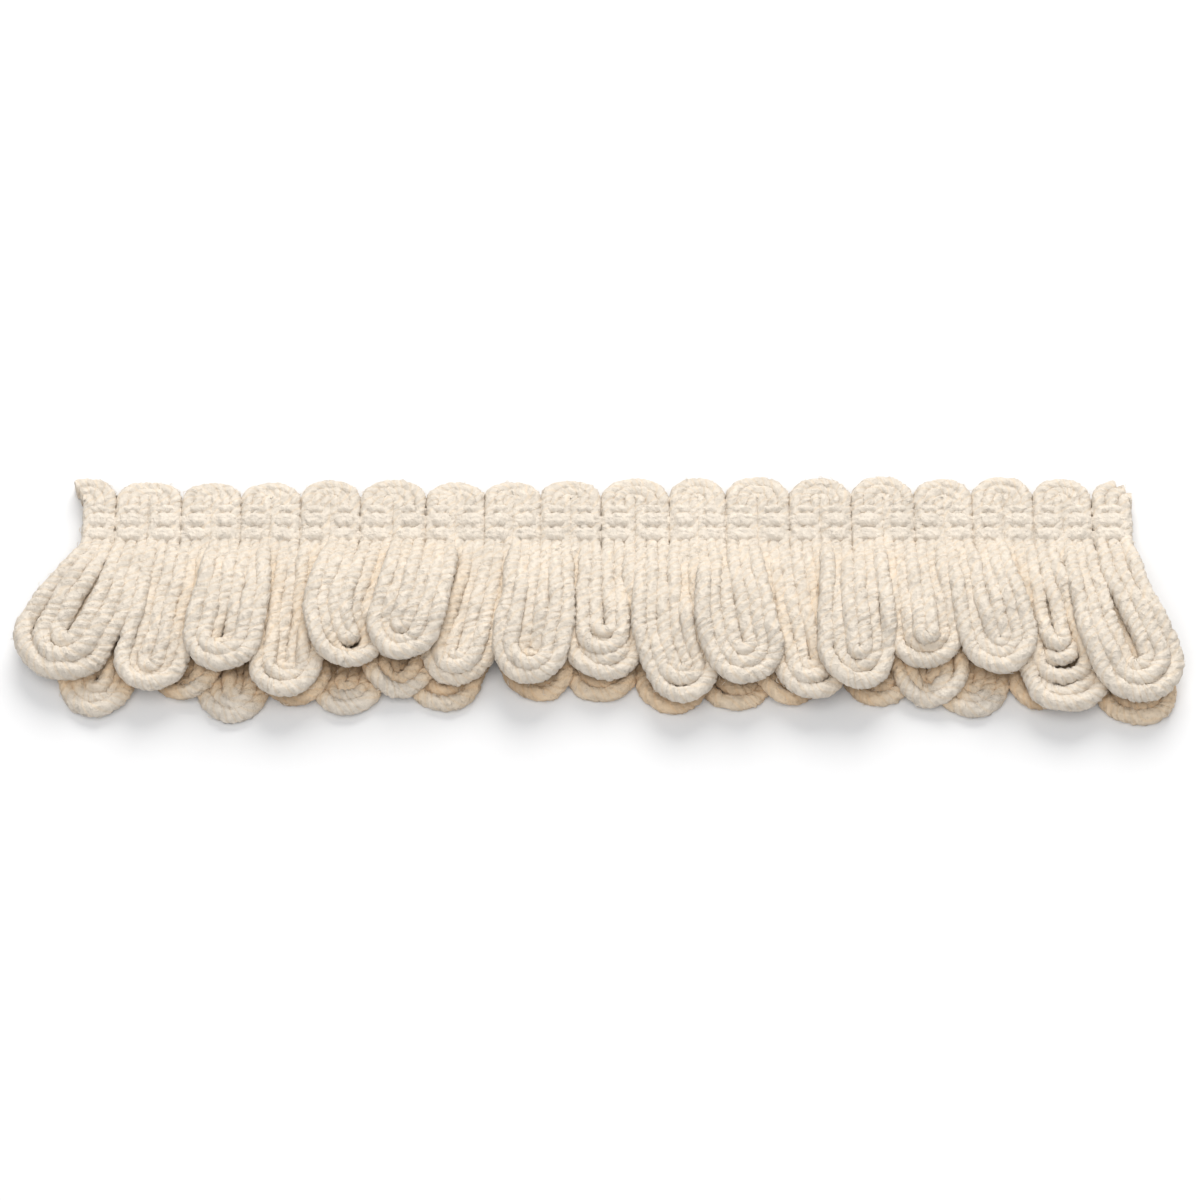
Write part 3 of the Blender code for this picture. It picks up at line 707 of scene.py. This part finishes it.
def cottonMaterial(name, crestColour, paintedGrooveColour):
    material = bpy.data.materials.new(name)
    material.use_nodes = True
    tree = material.node_tree
    shader = tree.nodes["Principled BSDF"]
    grain = addNode(tree, "ShaderNodeGroup", node_tree=fibreGrain).outputs
    # painted shade: the grooves between the plies are coloured darker and warmer than the crests
    crest = addNode(tree, "ShaderNodeAttribute", attribute_name="crest").outputs["Fac"]
    crest = addNode(tree, "ShaderNodeMapRange", {"Value": crest, "From Min": 0.05, "From Max": 0.6},
                    interpolation_type="SMOOTHSTEP").outputs[0]
    tone = addNode(tree, "ShaderNodeMix", {"Factor": crest}, data_type="RGBA")
    tone.inputs[6].default_value = (*paintedGrooveColour, 1.0)
    tone.inputs[7].default_value = (*crestColour, 1.0)
    streak = addNode(tree, "ShaderNodeMapRange", {"Value": grain["Streak"], "From Min": 0.3, "From Max": 0.7,
                                                  "To Min": 1.0 - cotton["streaks"], "To Max": 1.0}).outputs[0]
    stretch = addNode(tree, "ShaderNodeMapRange", {"Value": grain["Stretch"], "From Min": 0.3, "From Max": 0.7,
                                                   "To Min": 1.0 - cotton["unevenness"], "To Max": 1.0}).outputs[0]
    # painted shade: darker where the tuft bump is low
    tuft = addNode(tree, "ShaderNodeMapRange", {"Value": grain["Tuft"], "From Min": 0.35, "From Max": 0.6,
                                                "To Min": 1.0 - cotton["paintedPitShade"], "To Max": 1.0}).outputs[0]
    shade = scaled(tree, tone.outputs[2], calc(tree, "MULTIPLY", calc(tree, "MULTIPLY", streak, stretch), tuft))
    # painted shade: yarns under other yarns are darkened and warmed through this ramp
    cover = addNode(tree, "ShaderNodeAttribute", attribute_name="cover").outputs["Fac"]
    paintedShadeRamp = addNode(tree, "ShaderNodeValToRGB", {"Fac": cover})
    stops = paintedShadeRamp.color_ramp.elements
    for depth, _ in cotton["paintedUnderShade"][1:-1]:
        stops.new(depth)
    for stop, (depth, colour) in zip(stops, cotton["paintedUnderShade"]):
        stop.position = depth
        stop.color = (*colour, 1.0)
    shade = vectorCalc(tree, "MULTIPLY", shade, paintedShadeRamp.outputs["Color"])
    tree.links.new(shade, shader.inputs["Base Color"])
    height = calc(tree, "ADD", calc(tree, "MULTIPLY", grain["Streak"], cotton["fibreBump"]),
                  calc(tree, "MULTIPLY", grain["Tuft"], cotton["tuftBump"]))
    bump = addNode(tree, "ShaderNodeBump", {"Height": height, "Distance": 1.0})
    tree.links.new(bump.outputs[0], shader.inputs["Normal"])
    shader.inputs["Roughness"].default_value = cotton["roughness"]
    shader.inputs["Sheen Weight"].default_value = cotton["sheen"]
    shader.inputs["Sheen Roughness"].default_value = cotton["sheenRoughness"]
    shader.inputs["Sheen Tint"].default_value = (*cotton["sheenTint"], 1.0)
    shader.inputs["Specular IOR Level"].default_value = cotton["specular"]
    return material


def fibreMaterial(name, colour):
    material = bpy.data.materials.new(name)
    material.use_nodes = True
    tree = material.node_tree
    shader = tree.nodes["Principled BSDF"]
    spot = addNode(tree, "ShaderNodeTexCoord").outputs["Object"]
    patch = addNode(tree, "ShaderNodeTexNoise", {"Vector": spot, "Scale": cotton["fibrePatch"]}).outputs[0]
    tone = addNode(tree, "ShaderNodeMix", {"Factor": patch}, data_type="RGBA")
    tone.inputs[6].default_value = (*(cotton["fibreShade"] * value for value in colour), 1.0)
    tone.inputs[7].default_value = (*colour, 1.0)
    tree.links.new(tone.outputs[2], shader.inputs["Base Color"])
    shader.inputs["Roughness"].default_value = cotton["roughness"]
    shader.inputs["Specular IOR Level"].default_value = cotton["specular"]
    return material


creamCotton = cottonMaterial("creamCotton", cotton["crest"], cotton["groove"])
paleBinding = cottonMaterial("paleBinding", cotton["bindingCrest"], cotton["bindingGroove"])
looseFibre = fibreMaterial("looseFibre", cotton["crest"])
print("finishes made")


# pieces
def routeObject(name, paths):
    # each path is a chain of edges; each point knows the yarn's thickness and what lies over it, which sets its
    # painted shade
    verts, edges, thickness, cover = [], [], [], []
    for points, sizes, paintedUnderShade in paths:
        first = len(verts)
        verts += [tuple(mm * value for value in point[:3]) for point in points]
        edges += [(first + place, first + place + 1) for place in range(len(points) - 1)]
        thickness += list(sizes)
        cover += list(paintedUnderShade)
    mesh = bpy.data.meshes.new(name)
    mesh.from_pydata(verts, edges, [])
    for label, values in (("thickness", thickness), ("cover", cover)):
        mesh.attributes.new(label, "FLOAT", "POINT").data.foreach_set("value", np.array(values, np.float32))
    made = bpy.data.objects.new(name, mesh)
    bpy.context.scene.collection.objects.link(made)
    return made


def spin(name, paths, tree, values):
    # winds the yarn on its route, then keeps the result as a plain mesh
    route = routeObject(name + "_route", paths)
    modifier = route.modifiers.new("yarn", "NODES")
    modifier.node_group = tree
    sockets = {item.name: item.identifier for item in tree.interface.items_tree
               if item.item_type == "SOCKET" and item.in_out == "INPUT"}
    for label, value in values.items():
        modifier[sockets[label]] = value
    bpy.context.view_layer.update()
    graph = bpy.context.evaluated_depsgraph_get()
    mesh = bpy.data.meshes.new_from_object(route.evaluated_get(graph))
    mesh.name = name
    made = bpy.data.objects.new(name, mesh)
    bpy.context.scene.collection.objects.link(made)
    bpy.data.objects.remove(route)
    mesh.calc_loop_triangles()
    print(name, len(mesh.loop_triangles), "triangles")
    return made


yarnTree = buildYarnTree("pliedYarn", 3, 12)
yarnPiece = {
    "Yarn Radius": 1.09 * mm,
    "Groove Depth": 0.10,
    "Twist Pitch": 3.9 * mm,
    "Unevenness": 8.0,
    "Ring Spacing": 0.32 * mm,
    "Lumpiness": 0.17 * mm,
    "Lump Size": 1.6 * mm,
    "Grain": 0.08 * mm,
    "Fibre Density": 190000.0,
    "Fibre Size": 0.8 * mm,
    "Material": creamCotton,
    "Fibre Material": looseFibre,
}
for number, (tier, yarn) in enumerate((tier, yarn) for tier in tiers for yarn in range(fringe["yarns"])):
    keys = [key for key in routes if key[:2] == (tier.name, yarn)]
    paths = [(routes[key], thicknessOf(routes[key]), paintedShades[key]) for key in keys]
    piece = spin(f"{tier.name}_yarn_{yarn + 1}", paths, yarnTree, {**yarnPiece, "Seed": fringe["seed"] + number})
    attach(piece, "root")
    if yarn == 0:
        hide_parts(*(("lower_loops",) if tier.name == "lower" else ("upper_loops", "heading")))
print("yarns spun")


# the binding passes over each leg of the heading and dips between two of them
def bindingPath(across, top, dip, short):
    first, last = fringe["endScallops"]
    edges = [bounds[0] - first / 2.0]
    for left, width in zip(bounds, fringe["scallopWidths"]):
        edges += [left, left + width / 2.0]
    edges += [bounds[-1], bounds[-1] + last / 2.0]
    xs = np.arange(edges[0] + 0.4, edges[-1] - short, binding["step"])
    leg = np.clip(np.searchsorted(edges, xs) - 1, 0, len(edges) - 2)
    left, right = np.array(edges)[leg], np.array(edges)[leg + 1]
    share = (xs - left) / (right - left)
    height = top - dip * np.abs(2.0 * share - 1.0) ** binding["flatness"]
    return np.column_stack([xs, np.full(len(xs), across), height])


bindingTree = buildYarnTree("bindingThread", 2, 12)
bindingPiece = {
    "Groove Depth": 0.12,
    "Twist Pitch": 2.3 * mm,
    "Unevenness": 4.0,
    "Ring Spacing": 0.3 * mm,
    "Lumpiness": 0.08 * mm,
    "Lump Size": 1.0 * mm,
    "Grain": 0.04 * mm,
    "Fibre Density": 50000.0,
    "Fibre Size": 0.5 * mm,
    "Material": paleBinding,
    "Fibre Material": looseFibre,
}
nodeNames = ("warp_cord_back", "warp_cord_middle", "warp_cord_front")
for number, (row, nodeName) in enumerate(zip(binding["rows"], nodeNames)):
    paths = []
    for thread in range(row.threads):
        across = row.across + (thread - (row.threads - 1) / 2.0) * binding["pack"] * row.radius
        for top, dip in ((binding["top"], binding["dip"]), (binding["underTop"], binding["underDip"])):
            path = evenPoints(bindingPath(across, top, dip, row.short), binding["step"])
            paths.append((path, np.ones(len(path)), np.zeros(len(path))))
    values = {**bindingPiece, "Yarn Radius": binding["swell"] * row.radius * mm,
              "Seed": binding["seed"] + number}
    piece = spin("binding_" + nodeName.split("_")[-1], paths, bindingTree, values)
    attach(piece, "root")
    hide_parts(nodeName)
print("heading bound")


# table, light and camera
studio = {
    "floorSize": 3.0,
    "floorColour": (0.77, 0.773, 0.78),
    "skyColour": (0.96, 0.975, 1.0),
    "skyStrength": 0.5,
    "keyColour": (1.0, 0.98, 0.95),
    "keyPower": 10.2,
    "keySize": 0.8,
    "keyPlace": (0.1, 0.8, 0.68),
    "fillColour": (1.0, 0.99, 0.975),
    "fillPower": 8.0,
    "fillSize": 1.2,
    "fillPlace": (-0.1, -0.45, 1.15),
    "elevation": 60.9,
    "distance": 0.64,
    "target": (-0.00043, -0.01165, 0.0),
    "lens": 147.0,
}


def buildStudio():
    half = studio["floorSize"] / 2.0
    mesh = bpy.data.meshes.new("floor")
    mesh.from_pydata([(-half, -half, 0.0), (half, -half, 0.0), (half, half, 0.0), (-half, half, 0.0)], [],
                     [(0, 1, 2, 3)])
    floor = bpy.data.objects.new("floor", mesh)
    bpy.context.scene.collection.objects.link(floor)
    material = bpy.data.materials.new("paleFloor")
    material.use_nodes = True
    shader = material.node_tree.nodes["Principled BSDF"]
    shader.inputs["Base Color"].default_value = (*studio["floorColour"], 1.0)
    shader.inputs["Roughness"].default_value = 1.0
    shader.inputs["Specular IOR Level"].default_value = 0.0
    mesh.materials.append(material)

    world = bpy.data.worlds.new("studio")
    world.use_nodes = True
    sky = world.node_tree.nodes["Background"]
    sky.inputs["Color"].default_value = (*studio["skyColour"], 1.0)
    sky.inputs["Strength"].default_value = studio["skyStrength"]
    bpy.context.scene.world = world

    for name in ("key", "fill"):
        lamp = bpy.data.lights.new(name, "AREA")
        lamp.shape = "DISK"
        lamp.size = studio[name + "Size"]
        lamp.energy = studio[name + "Power"]
        lamp.color = studio[name + "Colour"]
        light = bpy.data.objects.new(name, lamp)
        light.location = studio[name + "Place"]
        light.rotation_euler = (-Vector(studio[name + "Place"])).to_track_quat("-Z", "Y").to_euler()
        bpy.context.scene.collection.objects.link(light)

    cameraData = bpy.data.cameras.new("camera")
    cameraData.lens = studio["lens"]
    cameraData.sensor_width = 36.0
    cameraData.clip_start = 0.01
    cameraData.clip_end = 10.0
    camera = bpy.data.objects.new("camera", cameraData)
    tilt = math.radians(studio["elevation"])
    away = Vector((0.0, -math.cos(tilt), math.sin(tilt)))
    camera.location = Vector(studio["target"]) + studio["distance"] * away
    camera.rotation_euler = (-away).to_track_quat("-Z", "Y").to_euler()
    bpy.context.scene.collection.objects.link(camera)
    bpy.context.scene.camera = camera
    bpy.context.scene.view_settings.view_transform = "Standard"


buildStudio()
print("studio set")
